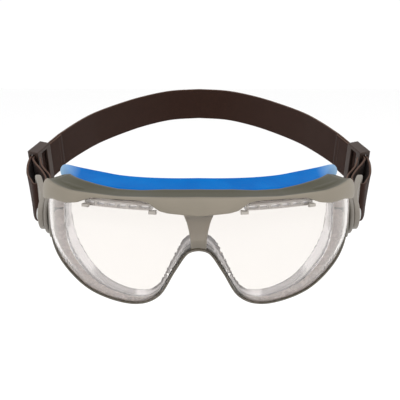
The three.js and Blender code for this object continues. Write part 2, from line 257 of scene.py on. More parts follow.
class Nodes:
    """A short way to wire a material's nodes."""

    def __init__(self, name):
        self.material = bpy.data.materials.new(name)
        self.material.use_nodes = True
        self.tree = self.material.node_tree
        self.shader = self.tree.nodes["Principled BSDF"]

    def add(self, kind, **values):
        node = self.tree.nodes.new(kind)
        for key, value in values.items():
            if hasattr(node, key):
                setattr(node, key, value)
            else:
                node.inputs[key.replace("_", " ")].default_value = value
        return node

    def join(self, source, target):
        self.tree.links.new(source, target)

    def place(self):
        return self.add("ShaderNodeTexCoord").outputs["Object"]

    def part(self, vector, axis):
        """One component of a vector: X, Y or Z."""
        node = self.add("ShaderNodeSeparateXYZ")
        self.join(vector, node.inputs["Vector"])
        return node.outputs[axis]

    def math(self, operation, first, second=None):
        """A sum on one or two values, each a number or a socket."""
        node = self.add("ShaderNodeMath", operation=operation)
        for key, value in enumerate((first, second)):
            if isinstance(value, (float, int)):
                node.inputs[key].default_value = value
            elif value:
                self.join(value, node.inputs[key])
        return node.outputs[0]

    def shade(self):
        """The mesh's own tone at each point."""
        return self.add("ShaderNodeAttribute", attribute_name="shade").outputs["Fac"]

    def noise(self, vector, scale, detail=3.0):
        node = self.add("ShaderNodeTexNoise", Scale=scale, Detail=detail)
        self.join(vector, node.inputs["Vector"])
        return node.outputs["Fac"]

    def ramp(self, value, stops):
        node = self.add("ShaderNodeValToRGB")
        while len(node.color_ramp.elements) < len(stops):
            node.color_ramp.elements.new(0.5)
        for element, (at, color) in zip(node.color_ramp.elements, stops):
            element.position = at
            element.color = (*color, 1)
        self.join(value, node.inputs["Fac"])
        return node.outputs["Color"]

    def range(self, value, low, high, start=0.0, end=1.0):
        node = self.add("ShaderNodeMapRange")
        for key, number in (("From Min", start), ("From Max", end), ("To Min", low), ("To Max", high)):
            node.inputs[key].default_value = number
        self.join(value, node.inputs["Value"])
        return node.outputs["Result"]

    def mix(self, factor, first, second):
        node = self.add("ShaderNodeMix", data_type="RGBA")
        self.join(factor, node.inputs[0])
        for key, value in ((6, first), (7, second)):
            if isinstance(value, tuple):
                node.inputs[key].default_value = (*value, 1)
            else:
                self.join(value, node.inputs[key])
        return node.outputs[2]

    def bump(self, height, distance, strength):
        node = self.add("ShaderNodeBump", Distance=distance, Strength=strength)
        self.join(height, node.inputs["Height"])
        self.join(node.outputs["Normal"], self.shader.inputs["Normal"])

    def set(self, **values):
        """Sets the shader's own sockets: a number or colour, or a socket to join."""
        for key, value in values.items():
            socket = self.shader.inputs[key.replace("_", " ")]
            if isinstance(value, tuple):
                socket.default_value = (*value, 1)
            elif isinstance(value, (float, int)):
                socket.default_value = value
            else:
                self.join(value, socket)


def moulded(name, color, drifted, roughness, grain=2600, depth=0.00003, shade=None, gloss=0.5, through=0.0):
    """Moulded plastic: fine spark-eroded grain, slow shifts of tone, and sharp edges painted paler, partly
    as rubbed edges and partly as a painted edge highlight.
    A shade is the tone that the mesh's own attribute of that name turns it towards."""
    made = Nodes(name)
    where = made.place()
    tone = made.ramp(made.noise(where, 38, 2), [(0.3, drifted), (0.7, color)])
    # Sharp edges are painted paler: partly rubbed edges, partly a painted highlight.
    sharpness = made.add("ShaderNodeNewGeometry").outputs["Pointiness"]
    rubbed_and_highlit = made.range(sharpness, 0, 0.35, 0.52, 0.6)
    tone = made.mix(rubbed_and_highlit, tone, tuple(min(1, c * 1.35) for c in color))
    if shade:
        tone = made.mix(made.shade(), tone, shade)
    fleck = made.noise(where, grain, 2)
    made.set(Base_Color=tone, Roughness=made.range(fleck, roughness - 0.06, roughness + 0.1),
             Specular_IOR_Level=gloss, Transmission_Weight=through)
    made.bump(fleck, depth, 0.6)
    return made.material


frame_grey = moulded("frame_grey", (0.155, 0.145, 0.12), (0.125, 0.117, 0.098), 0.42)
post_grey = moulded("post_grey", (0.43, 0.38, 0.30), (0.39, 0.345, 0.272), 0.45, gloss=0.2)

# The rim's section: n is measured in from the rim's edge, w outwards. Its outer lip is dark
# olive along the bottom; the rest of it is pale and lets light through.
RIM_SECTION = [(0.5, -8.9), (0.15, -8.3), (0.0, -6.5), (0.0, -3.0), (0.05, -1.0), (0.3, -0.5), (0.8, -0.5),
               (1.05, -0.9), (1.1, -2.3), (1.6, -2.7), (2.4, -3.2), (2.6, -4.4), (2.6, -7.8), (2.3, -8.8),
               (1.6, -9.0)]
LIP_SHADE = np.array([0.7, 1, 1, 1, 1, 1, 1, 1, 0.9, 0.3, 0, 0, 0, 0.1, 0.3])
NOSE_SHADE = 0.95
rows = np.stack([wrap(*(rim + rim_inward * n).T, np.full(len(rim), w)) for n, w in RIM_SECTION], axis=1)
low_part = smoothstep(-rim[:, 1], 2, 12)
nose_part = 1 - smoothstep(np.abs(rim[:, 0]), 20, 30)
lip_shade = np.maximum(LIP_SHADE[None, :] * low_part[:, None], NOSE_SHADE * nose_part[:, None])
rim_pale = moulded("rim_pale", (0.90, 0.80, 0.755), (0.86, 0.76, 0.715), 0.25, 300, 0.00001,
                   shade=(0.105, 0.09, 0.065), through=0.15)
rim_piece = fine(mesh_object("frame_rim", *skin(rows, closed=True), lip_shade))
fit_out(rim_piece, "goggles", "frame", rim_pale, "goggle_frame")


def bend_mesh(mesh, bend):
    """Bends a mesh drawn in millimetres and brings it to metres."""
    points = np.empty(len(mesh.vertices) * 3)
    mesh.vertices.foreach_get("co", points)
    points = points.reshape(-1, 3)
    points = bend(points[:, 0], points[:, 1], points[:, 2]) * MM
    mesh.vertices.foreach_set("co", points.ravel())
    mesh.update()


def cut_across(work, axis, places):
    """Cuts a mesh with planes square to an axis."""
    toward = np.eye(3)[axis]
    for at in places:
        bmesh.ops.bisect_plane(work, geom=work.verts[:] + work.edges[:] + work.faces[:],
                               plane_co=toward * at, plane_no=toward, dist=1e-4)


def rounded_prism(name, outline, back, front, edge, cell, shape=None):
    """A flat moulding with rounded edges, cut into small cells and bent onto the lens."""
    line = even(np.vstack([outline, outline[:1]]), max(24, len(outline)))[:-1]
    normal = inward(line, True)
    area = np.sum(line[:, 0] * np.roll(line[:, 1], -1) - np.roll(line[:, 0], -1) * line[:, 1])
    normal *= -1 if area > 0 else 1
    work = bmesh.new()
    loops = []
    for depth, offset in ((back, edge), (back + 0.3 * edge, 0.3 * edge), (back + edge, 0),
                          (front - edge, 0), (front - 0.3 * edge, 0.3 * edge), (front, edge)):
        loops.append([work.verts.new((u, v, depth)) for u, v in line + normal * offset])
    for low, high in zip(loops, loops[1:]):
        for i in range(len(low)):
            j = (i + 1) % len(low)
            work.faces.new((low[i], low[j], high[j], high[i]))
    caps = [work.faces.new(loops[0][::-1]), work.faces.new(loops[-1])]
    bmesh.ops.triangulate(work, faces=caps)
    low, high = line.min(axis=0), line.max(axis=0)
    for axis in (0, 1):
        cut_across(work, axis, np.arange(math.floor(low[axis] / cell) * cell + cell / 2, high[axis], cell))
    bmesh.ops.recalc_face_normals(work, faces=work.faces)
    mesh = bpy.data.meshes.new(name)
    work.to_mesh(mesh)
    work.free()
    bend_mesh(mesh, lambda u, v, w: wrap(u, v, w + (shape(u, v) if shape else 0)))
    mesh.shade_smooth()
    return stand(name, mesh)


POST = [(-10.5, 15), (-8, 9.5), (-5.9, 4.5), (-4.9, 0.5), (-4.2, -4), (-4.0, -9.5),
        (4.0, -9.5), (4.2, -4), (4.9, 0.5), (5.9, 4.5), (8, 9.5), (10.5, 15)]
post = rounded_prism("nose_post", even(np.array(POST + POST[:1], float), 120)[:-1],
                     -6.5, -2.6, 0.5, 1.5)
fit_out(post, "goggles", "frame", post_grey)

LUG_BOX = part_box("side_lug_left")
PIVOT_HEIGHT = (LUG_BOX[0][2] + LUG_BOX[1][2]) / 2 / MM
TAB = [(101.8, -1), (104.5, -6.5), (109, -10.5), (114, -12), (128, -12), (130.6, -11), (131.5, -8.5),
       (131.5, 6.5), (130.6, 9), (128, 10), (103, 10), (101.8, 8.5)]  # heights from the pivots
TAB_SETBACK = 2.6


def tab_step(u, v):
    """Sets the tab's front end back, behind the lens."""
    return -TAB_SETBACK * (1 - smoothstep(np.abs(u), 103, 106))


for side_name, side in SIDES:
    edge_line = even(np.array(TAB + TAB[:1], float) * (side, 1), 160)[:-1] + (0, PIVOT_HEIGHT)
    tab = rounded_prism(f"side_tab_{side_name}", edge_line, -6, 0, 0.7, 1.5, tab_step)
    fit_out(tab, "goggles", "frame", frame_grey)


# ---- Lens ----
# One clear polycarbonate shield, 2.2 mm thick, bent round both eyes. Its edge rolls
# back a little into the rim all the way round below the brow.
LENS_INSET = 1.3
ROLL = 1.3


def rim_distance(u, v):
    """How far points lie from the rim's line, roughly."""
    gap = np.full(np.shape(u), 1e9)
    for i in range(0, len(rim), 2):
        gap = np.minimum(gap, np.hypot(u - rim[i, 0], v - rim[i, 1]))
    return gap


def lens_roll(u, v):
    """Rolls the lens back near its edge, below the brow."""
    near = 1 - smoothstep(rim_distance(u, v) - LENS_INSET, 0.0, 6.5)
    return -ROLL * near * smoothstep(10 - v, 0, 8)


clear = Nodes("clear_polycarbonate")
clear_place = clear.place()
clear.set(Base_Color=(0.862, 0.826, 0.79), Transmission_Weight=1.0, IOR=1.58,
          Roughness=clear.range(clear.noise(clear_place, 90, 4), 0.012, 0.05))
clear.bump(clear.noise(clear_place, 30, 2), 0.00002, 0.15)
lens = rounded_prism("lens_shield", rim + rim_inward * LENS_INSET, -LENS_THICK, 0, 0.5, 2.0, lens_roll)
fit_out(lens, "goggles", "lens", clear.material, "lens")


# ---- Brow bar ----
# A grey moulded bar clipped over the top of the lens: a crowned band in front, a ridge,
# and a hollow ledge, painted with shade, that runs back to the seal. It dips between the eyes.
BAND_LOW = [(0, 8.9), (8, 9.6), (15, 10.2), (19, 11.2), (22, 13.2), (24.5, 15), (29, 15.9), (40, 15.9),
            (54.5, 15.4), (59, 13.9), (64, 11.9), (71, 10.6), (84, 10.4), (98, 7.6), (103, 7.9),
            (105, 9.2), (106, 11.6)]
RIDGE = [(0, 18.6), (24, 18.1), (40, 17.5), (55, 17.8), (68, 17.9), (79, 18.7), (89, 19.6), (96, 19.6),
         (100, 18.2), (103.5, 15.8), (105.3, 13.6), (106, 12)]
LEDGE_REAR = [(0, 19.8), (19, 19.5), (32, 18.6), (46, 18.4), (57, 19.4), (66, 20.3), (77, 21), (90, 21.6),
              (96, 20.8), (100, 18.6), (103.5, 16), (105.3, 13.8), (106, 12.2)]
RIM_TOP = [(0, 16.2), (50, 16.2), (64, 17.1), (78, 18), (90, 17), (97, 15), (104, 4)]


def height(table, u):
    """Reads a height off one of the lines above."""
    knots = np.array(table, float)
    return np.interp(np.abs(u), knots[:, 0], knots[:, 1])


LEDGE_REACH, LEDGE_FROM, LEDGE_TO = 9, 93, 102  # the ledge dies away towards the ends


def brow_section(u):
    """The bar's section at u, as (outwards, up) pairs that start at its lower rear edge."""
    low, ridge, rear = height(BAND_LOW, u), height(RIDGE, u), height(LEDGE_REAR, u)
    reach = LEDGE_REACH * (1 - smoothstep(abs(u), LEDGE_FROM, LEDGE_TO))
    end = math.sqrt(max(0.02, 1 - max(0, (abs(u) - 98) / 8.2) ** 2))
    tall = ridge - low
    front = 0.6 + 3.0 * end
    under = max(rear - 1.7, height(RIM_TOP, u) + 0.3) if reach > 0.5 else ridge - 0.5 * tall
    neck = min(ridge - 1.9, under - 0.1) if reach > 0.5 else ridge - 0.55 * tall
    centre = 0.5 * (1 - smoothstep(abs(u), 14, 26))
    return [(0.4, low + 0.3), (0.9, low), (front - 0.9, low), (front - 0.2, low + 0.12 * tall),
            (front + centre, low + 0.32 * tall), (front + 0.15 + centre, low + 0.55 * tall),
            (front + 0.05 + 0.4 * centre, low + 0.8 * tall), (front - 0.3, ridge - 0.1 * tall),
            (front - 0.8, ridge), (front - 1.5, ridge - 0.15), (0.6, ridge - 0.55),
            (-0.2 * reach, 0.75 * (ridge - 0.5) + 0.25 * rear),
            (-0.5 * reach, 0.4 * ridge + 0.6 * rear - 0.5), (-0.8 * reach, rear - 0.3),
            (-0.92 * reach, rear), (-reach, rear - 0.15), (-reach, rear - 0.5 * (rear - under)),
            (-0.95 * reach, under), (-0.5 * reach, under), (-0.1 * reach, under), (0.4, neck),
            (0.4, low + 0.6 * (neck - low))]


# The ledge is painted darker than the band, as the shade in its hollow: 0 on the band, 1 on the ledge, for
# each section point.
LEDGE_PAINTED_SHADE = [0.2, 0, 0, 0, 0, 0, 0, 0, 0.25, 0.9, 1, 1, 1, 1, 0.8, 0.8, 1, 1, 1, 1, 1, 0.6]
END_FROM, END_SHARE = 90, 0.85  # the ends are drawn in a little, to show the clips
stations = np.concatenate([np.linspace(-106, -98, 17), np.linspace(-97.2, 97.2, 217),
                           np.linspace(98, 106, 17)])
rows = []
for u in stations:
    section = np.array(brow_section(u))
    drawn = math.copysign(min(abs(u), END_FROM) + END_SHARE * max(0, abs(u) - END_FROM), u)
    rows.append(wrap(np.full(len(section), drawn), section[:, 1], section[:, 0]))
# The shade colour below is the painted shade of the ledge.
brow_grey = moulded("brow_grey", (0.255, 0.225, 0.18), (0.22, 0.195, 0.155), 0.42,
                    shade=(0.062, 0.058, 0.038), gloss=0.12)
brow = mesh_object("brow_bar", *skin(np.array(rows)), np.tile(LEDGE_PAINTED_SHADE, len(stations)))
fine(brow)
fit_out(brow, "goggles", "brow", brow_grey, "brow_frame")


# ---- Lens catches ----
# Four small grey hooks, moulded with the brow bar, that grip the lens at the corners of
# the two brow windows.
catch_grey = moulded("catch_grey", (0.40, 0.37, 0.33), (0.34, 0.31, 0.28), 0.35)
for place, u, v in (("outer", 57.2, 10.2), ("inner", 20.6, 9.4)):
    for side_name, side in SIDES:
        hook = np.array([(u, v), (u + 3.8, v), (u + 3.8, v + 1.6), (u, v + 2), (u, v)], float) * (side, 1)
        piece = rounded_prism(f"catch_{place}_{side_name}", even(hook, 48)[:-1], 0.4, 2.4, 0.35, 1.0)
        fit_out(piece, "goggles", "brow", catch_grey, f"lens_catch_{place}_{side_name}")


# ---- Upper vents ----
# A pale slatted strip behind each brow window lets air over the top of the lens but
# stops splashes. Rails and slats are one moulding.
VENT_MIDDLE, VENT_BASE, VENT_LENGTH, VENT_HEIGHT = 43.0, 10.2, 38.0, 2.9
VENT_BACK, VENT_FRONT, SLATS = -6.5, -2.6, 7


def repeat_tree(name, sizes, make_element):
    """Spaces copies of one element evenly along the line that the tree is given."""
    tree = bpy.data.node_groups.new(name, "GeometryNodeTree")
    tree.interface.new_socket("Geometry", in_out="INPUT", socket_type="NodeSocketGeometry")
    for label, value in sizes.items():
        kind = "NodeSocketInt" if isinstance(value, int) else "NodeSocketFloat"
        tree.interface.new_socket(label, in_out="INPUT", socket_type=kind)
    tree.interface.new_socket("Material", in_out="INPUT", socket_type="NodeSocketMaterial")
    tree.interface.new_socket("Geometry", in_out="OUTPUT", socket_type="NodeSocketGeometry")
    link = tree.links.new
    given = tree.nodes.new("NodeGroupInput")
    curve = tree.nodes.new("GeometryNodeMeshToCurve")
    spaced = tree.nodes.new("GeometryNodeResampleCurve")
    copies = tree.nodes.new("GeometryNodeInstanceOnPoints")
    tangent = tree.nodes.new("GeometryNodeInputTangent")
    turn = tree.nodes.new("FunctionNodeAlignRotationToVector")
    turn.axis = "X"
    real = tree.nodes.new("GeometryNodeRealizeInstances")
    finish = tree.nodes.new("GeometryNodeSetMaterial")
    result = tree.nodes.new("NodeGroupOutput")
    link(given.outputs["Geometry"], curve.inputs["Mesh"])
    link(curve.outputs["Curve"], spaced.inputs["Curve"])
    link(given.outputs["Count"], spaced.inputs["Count"])
    link(spaced.outputs["Curve"], copies.inputs["Points"])
    link(make_element(tree, given), copies.inputs["Instance"])
    link(tangent.outputs["Tangent"], turn.inputs["Vector"])
    link(turn.outputs["Rotation"], copies.inputs["Rotation"])
    link(copies.outputs["Instances"], real.inputs["Geometry"])
    link(real.outputs["Geometry"], finish.inputs["Geometry"])
    link(given.outputs["Material"], finish.inputs["Material"])
    link(finish.outputs["Geometry"], result.inputs["Geometry"])
    return tree


def grow(name, lines, tree, sizes, material):
    """Runs a tree on some lines of points once and returns its result as a plain mesh."""
    path = bpy.data.meshes.new(name + "_line")
    points, edges = [], []
    for line in lines:
        edges += [(len(points) + i, len(points) + i + 1) for i in range(len(line) - 1)]
        points += [tuple(map(float, point)) for point in line]
    path.from_pydata(points, edges, [])
    carrier = stand(name + "_carrier", path)
    modifier = carrier.modifiers.new("grow", "NODES")
    modifier.node_group = tree
    for socket in tree.interface.items_tree:
        if socket.in_out == "INPUT" and socket.name in sizes:
            modifier[socket.identifier] = sizes[socket.name]
        elif socket.in_out == "INPUT" and socket.name == "Material":
            modifier[socket.identifier] = material
    carrier.update_tag()
    graph = bpy.context.evaluated_depsgraph_get()
    mesh = bpy.data.meshes.new_from_object(carrier.evaluated_get(graph))
    bpy.data.objects.remove(carrier)
    mesh.shade_smooth()
    return mesh


def slat_element(tree, given):
    """One slat, as thick, high and deep as the tree's inputs say."""
    size = tree.nodes.new("ShaderNodeCombineXYZ")
    block = tree.nodes.new("GeometryNodeMeshCube")
    for label, axis in (("Thickness", "X"), ("Height", "Y"), ("Depth", "Z")):
        tree.links.new(given.outputs[label], size.inputs[axis])
    tree.links.new(size.outputs["Vector"], block.inputs["Size"])
    return block.outputs["Mesh"]


RAIL = 0.8
SLAT = {"Count": SLATS, "Thickness": 1.4, "Height": VENT_HEIGHT - 0.6, "Depth": VENT_FRONT - VENT_BACK}
slat_tree = repeat_tree("vent_slats", SLAT, slat_element)
vent_clear = Nodes("vent_clear")
vent_place = vent_clear.place()
vent_clear.set(Base_Color=(0.98, 0.96, 0.95), Transmission_Weight=0.02,
               Roughness=vent_clear.range(vent_clear.noise(vent_place, 700, 3), 0.22, 0.4))
vent_clear.bump(vent_clear.noise(vent_place, 900, 2), 0.000005, 0.3)
middle_v, middle_w = VENT_BASE + VENT_HEIGHT / 2, (VENT_BACK + VENT_FRONT) / 2
for side_name, side in SIDES:
    middle_u, half = side * VENT_MIDDLE, VENT_LENGTH / 2 - SLAT["Thickness"] / 2
    line = [(middle_u - half, middle_v, middle_w), (middle_u + half, middle_v, middle_w)]
    mesh = grow(f"vent_{side_name}", [line], slat_tree, SLAT, vent_clear.material)
    work = bmesh.new()
    work.from_mesh(mesh)
    for v in (VENT_BASE + RAIL / 2, VENT_BASE + VENT_HEIGHT - RAIL / 2):
        made = bmesh.ops.create_cube(work, size=1)
        bmesh.ops.scale(work, vec=(VENT_LENGTH, RAIL, VENT_FRONT - VENT_BACK), verts=made["verts"])
        bmesh.ops.translate(work, vec=(middle_u, v, middle_w), verts=made["verts"])
    cut_across(work, 0, np.arange(middle_u - 18, middle_u + 19, 2))
    work.to_mesh(mesh)
    work.free()
    bend_mesh(mesh, wrap)
    mesh.shade_flat()
    fit_out(stand(f"vent_{side_name}", mesh), "goggles", "vent", vent_clear.material,
            f"upper_vent_{side_name}")


# ---- Brow seal ----
# A soft blue rubber skirt from the rear of the brow ledge to the forehead, with a rolled
# lip. It flares outwards, and is painted paler at the temples as a highlight where light grazes it.
SEAL_FLAT = 30.0  # how deep the seals are drawn before they are carried to the face
SEAL_GAP = 0.15  # between the frame's rear and the seals
SEAL_FLARE, SEAL_RISE = 5.0, 2.2  # how far the ends flare outwards and up
FACE_BACK, FACE_CURVE, NOSE_REACH = -40, 34 / 75**2, 13
FACE_SHARE, FACE_INSET = 0.985, 0.4  # the face line is a little narrower than the frame's rear


def face(u, v):
    """Where the seals meet the face: forehead, temples, cheeks and nose."""
    x, _, nx, _ = plan(u)
    x = FACE_SHARE * (x + (FRAME_BACK - FACE_INSET) * nx)
    nose = np.exp(-(u / 11) ** 2) * smoothstep(-v, 0, 12)
    z = np.where(v > 0, (1.2 - 0.13 * smoothstep(np.abs(u), 55, 95)) * v,
                 1.08 * v - 2 * smoothstep(-v, 0, 25))
    return np.stack([x, FACE_CURVE * x**2 + FACE_BACK - NOSE_REACH * nose, z], axis=-1)


def seal_wrap(u, v, w):
    """Like wrap, but runs from the rear of the frame to the face."""
    t = ((-w + FRAME_BACK) / (SEAL_FLAT + FRAME_BACK))[..., None]
    return wrap(u, v, FRAME_BACK - SEAL_GAP + 0 * w) * (1 - t) + face(u, v) * t


def seal_rows(line, normals, section):
    """Carries a (across, depth) section along a line drawn on the rear of the frame."""
    section = np.array(section)
    rows = []
    for point, normal in zip(line, normals):
        flat = point + normal * section[:, :1]
        rows.append(seal_wrap(flat[:, 0], flat[:, 1], section[:, 1]))
    return np.array(rows)


brow_line = both_ways(spline([(0, 17), (46, 16.5), (76, 18.3), (90, 18.8), (97, 16.8), (99.5, 14.8)], 130))
# across is the offset up from the seal's line, and depth runs back to the rolled lip.
BROW_SKIRT = [(1.9, -9.0), (1.75, -13), (1.65, -18), (1.7, -23), (1.9, -26.5), (2.1, -28.6), (1.9, -29.8),
              (1.3, -30.0), (0.6, -29.6), (0.3, -28.4), (0.3, -26), (0.35, -22), (0.5, -17), (0.6, -13),
              (0.7, -9.0)]
rows = seal_rows(brow_line, -inward(brow_line, False), BROW_SKIRT)
deep = smoothstep(-np.array(BROW_SKIRT)[:, 1], -FRAME_BACK, SEAL_FLAT)
flare = smoothstep(np.abs(brow_line[:, :1]), 66, 98) * deep
rows[:, :, 0] += np.sign(brow_line[:, :1]) * SEAL_FLARE * flare
rows[:, :, 2] += SEAL_RISE * flare

HIGHLIGHT_FROM, HIGHLIGHT_ALL = 0.064, 0.080  # how far out, in metres, the blue is painted paler as a highlight
blue = Nodes("blue_rubber")
blue_place = blue.place()
sideways = blue.math("ABSOLUTE", blue.part(blue_place, "X"))
# The blue is painted paler towards the temples, as a highlight of light grazing the seal's sides.
pale = blue.range(sideways, 0, 1, HIGHLIGHT_FROM, HIGHLIGHT_ALL)
tone = blue.ramp(blue.noise(blue_place, 60, 3), [(0.3, (0.0005, 0.105, 0.39)), (0.7, (0.0008, 0.14, 0.46))])
blue.set(Base_Color=blue.mix(pale, tone, (0.30, 0.46, 0.60)), Specular_IOR_Level=0.03,
         Roughness=blue.range(blue.noise(blue_place, 1800, 3), 0.42, 0.6))
blue.bump(blue.noise(blue_place, 2400, 2), 0.00003, 0.5)
seal = fine(mesh_object("brow_skirt", *skin(rows)))
fit_out(seal, "goggles", "brow_seal", blue.material, "brow_seal")


# ---- Face seal ----
# A soft translucent skirt from the rear of the rim to the temples, cheeks and nose, with
# a lip turned in where it meets the skin.
below = rim[:, 1] < 10.4
under_line, under_normal = rim[below], rim_inward[below]
FACE_LIP = [(1.0, -9.0), (1.0, -14), (1.1, -20), (1.4, -25), (2.2, -28.4), (3.6, -29.8), (4.7, -30),
            (4.8, -29.5), (3.9, -28.8), (3.0, -27), (2.7, -23), (2.6, -18), (2.6, -13), (2.6, -9.0)]
# The rubber is clear at the sides and smoky round the nose, where pale streaks are painted
# along it as highlights. Two denser pads stiffen its lower edge.
# Smoke for each section point round the nose; its low values are painted highlight streaks.
HIGHLIGHT_STREAKS = np.array([0.9, 0.75, 0.2, 0.75, 0.15, 0.8, 0.9, 0.9, 0.6, 0.15, 0.7, 0.2, 0.8, 0.9])
PAD_SMOKE = 0.3
out_from_nose = np.abs(under_line[:, 0])
round_nose = 1 - smoothstep(out_from_nose, 19, 34)
pads = (smoothstep(out_from_nose, 37, 39) * (1 - smoothstep(out_from_nose, 66, 74))
        * smoothstep(-under_line[:, 1], 25, 30))
smoke_and_highlights = np.maximum(HIGHLIGHT_STREAKS[None, :] * round_nose[:, None], PAD_SMOKE * pads[:, None])
skirt_clear = Nodes("translucent_rubber")
skirt_place = skirt_clear.place()
milky = skirt_clear.ramp(skirt_clear.noise(skirt_place, 45, 3),
                         [(0.3, (0.90, 0.88, 0.90)), (0.7, (0.95, 0.93, 0.95))])
own_smoke_and_highlights = skirt_clear.shade()
skirt_clear.set(Base_Color=skirt_clear.mix(own_smoke_and_highlights, milky, (0.085, 0.062, 0.05)), IOR=1.41,
                Transmission_Weight=skirt_clear.range(own_smoke_and_highlights, 0.88, 0.35),
                Roughness=skirt_clear.range(skirt_clear.noise(skirt_place, 60, 2), 0.08, 0.16))
skirt_clear.bump(skirt_clear.noise(skirt_place, 120, 2), 0.00002, 0.2)
rows = seal_rows(under_line, under_normal, FACE_LIP)
face_skirt = fine(mesh_object("face_skirt", *skin(rows), smoke_and_highlights))
fit_out(face_skirt, "goggles", "face_seal", skirt_clear.material, "face_seal")


# ---- Side lugs, pivot pins and retainers ----
# On each side a round moulded lug carries a turned steel pin. A push-on retainer holds
# the pin behind the frame's tab, and the strap clip swivels on it.
SPOKES = 64


def turned(name, outline, side):
    """A body of revolution about the pivot line from (x, radius) pairs."""
    rows = [[(side * x, r * math.cos(a), PIVOT_HEIGHT + r * math.sin(a)) for x, r in outline]
            for a in np.linspace(0, 2 * math.pi, SPOKES, endpoint=False)]
    return mesh_object(name, *skin(np.array(rows), closed=True))


steel = Nodes("turned_steel")
steel_place = steel.place()
steel_tone = steel.ramp(steel.noise(steel_place, 300, 3),
                        [(0.3, (0.42, 0.42, 0.41)), (0.7, (0.56, 0.56, 0.55))])
steel.set(Metallic=1.0, Base_Color=steel_tone,
          Roughness=steel.range(steel.noise(steel_place, 900, 2), 0.22, 0.38))
rings = steel.add("ShaderNodeTexWave", wave_type="RINGS", rings_direction="X", Scale=900.0)
steel.join(steel_place, rings.inputs["Vector"])
steel.bump(rings.outputs["Fac"], 0.00001, 0.3)
lug_grey = moulded("lug_grey", (0.186, 0.1674, 0.1426), (0.155, 0.1395, 0.1209), 0.42)

# Each outline is (x, radius) from the centre plane, so the outer end comes last.
LUG = [(86.2, 2.6), (86.2, 11.1), (86.5, 11.5), (88.0, 11.5), (88.5, 11.1), (88.6, 10.2), (88.35, 9.9),
       (88.3, 6.4), (88.6, 6.0), (88.6, 2.9), (88.4, 2.6)]
PIN = [(77.6, 0.02), (77.6, 1.5), (78.0, 2.1), (92.6, 2.2), (92.9, 2.4), (93.0, 3.7), (93.3, 4.0),
       (93.9, 3.9), (94.4, 3.3), (94.6, 2.4), (94.55, 1.5), (94.1, 1.3), (94.05, 0.02)]
RETAINER = [(78.4, 2.45), (78.4, 4.7), (78.7, 5.0), (79.2, 5.0), (79.35, 4.7), (79.1, 4.2), (79.15, 3.4),
            (79.6, 3.1), (79.6, 2.45)]
for side_name, side in SIDES:
    fit_out(turned(f"lug_{side_name}", LUG, side), "goggles", "frame", lug_grey, f"side_lug_{side_name}")
    fit_out(turned(f"pin_{side_name}", PIN, side), "goggles", "steel", steel.material,
            f"pivot_pin_{side_name}")
    fit_out(turned(f"retainer_{side_name}", RETAINER, side), "goggles", "steel", steel.material,
            f"pin_retainer_{side_name}")


# ---- Strap clips ----
# A grey moulded clip swivels on each pin. Its hub is round, its rear flares outwards,
# and the strap folds round the bar behind its slot.
CLIP_CELL, CLIP_EASE = 0.0003, 6  # the fine mesh's cell in metres, and how often it is eased


def softened(node, name, cell, passes):
    """A CAD node's shape as one fine mesh with its edges eased, as a moulding has them."""
    mesh = bpy.data.objects[node].data.copy()
    work = bmesh.new()
    work.from_mesh(mesh)
    bmesh.ops.remove_doubles(work, verts=work.verts, dist=1e-6)
    work.to_mesh(mesh)
    work.free()
    copy = stand(name, mesh)
    fine_mesh = copy.modifiers.new("fine", "REMESH")
    fine_mesh.mode, fine_mesh.voxel_size = "VOXEL", cell
    ease = copy.modifiers.new("ease", "SMOOTH")
    ease.factor, ease.iterations = 0.5, passes
    graph = bpy.context.evaluated_depsgraph_get()
    copy.update_tag()
    result = bpy.data.meshes.new_from_object(copy.evaluated_get(graph))
    copy.modifiers.clear()
    copy.data = result
    result.shade_smooth()
    return copy


clip_grey = moulded("clip_grey", (0.2232, 0.1984, 0.1674), (0.186, 0.1674, 0.1426), 0.38)
for side_name, body in (("left", "strap"), ("right", "right_clip")):
    clip = softened(f"strap_clip_{side_name}", f"clip_{side_name}", CLIP_CELL, CLIP_EASE)
    fit_out(clip, body, "clip", clip_grey, f"strap_clip_{side_name}")


# ---- Head strap and its loose ends ----
# Brown elastic webbing, 25 mm wide, folded round each clip bar and through a slider.
# Its selvedges are woven a little thicker, and are painted paler as a highlight along the edges.
STRAP_WIDTH, STRAP_THICK, STRAP_PLAY = 25.0, 1.4, 0.4
PITCHES = (8, 28, 19, 12.5)  # degrees: at the clips, rising, on the sliders, at the back
CLIP_X, CLIP_THICK = 89.0, 3.6
CLIP_FLARE, FLARE_FROM = math.radians(22), 4.0
BAR_Y, BAR_BEND = 20.5, 3.7
SLIDER_LEAN = math.radians(21)
SLIDER_START = np.array((108.8, 52.0))
SLIDER_RUN = 35.0
LAYER_GAP = STRAP_THICK + STRAP_PLAY
along_run = np.array((-math.sin(SLIDER_LEAN), math.cos(SLIDER_LEAN)))
into_run = np.array((-along_run[1], along_run[0]))


def on_run(s, depth=0.0):
    """A point s along the straight run through the slider, and depth in from it."""
    return SLIDER_START + along_run * s + into_run * depth


bar = np.array((CLIP_X + CLIP_THICK / 2 + (BAR_Y - FLARE_FROM) * math.tan(CLIP_FLARE), BAR_Y))
fold = [bar + BAR_BEND * np.array((math.cos(a), math.sin(a)))
        for a in math.pi * (1 + np.linspace(0, 1, 9)) - CLIP_FLARE]


def smooth_run(points, count):
    """A smooth curve through some points, whose ends run straight on, evenly spaced."""
    p = np.array(points, float)
    p = np.vstack([2 * p[0] - p[1], p, 2 * p[-1] - p[-2]])
    dense = []
    for a, b, c, d in zip(p, p[1:], p[2:], p[3:]):
        start, end = (c - a) / 2, (d - b) / 2
        for t in np.linspace(0, 1, 40, endpoint=False):
            dense.append((2 * b - 2 * c + start + end) * t**3
                         + (-3 * b + 3 * c - 2 * start - end) * t**2 + start * t + b)
    return even(np.vstack(dense + [p[-2]]), count)


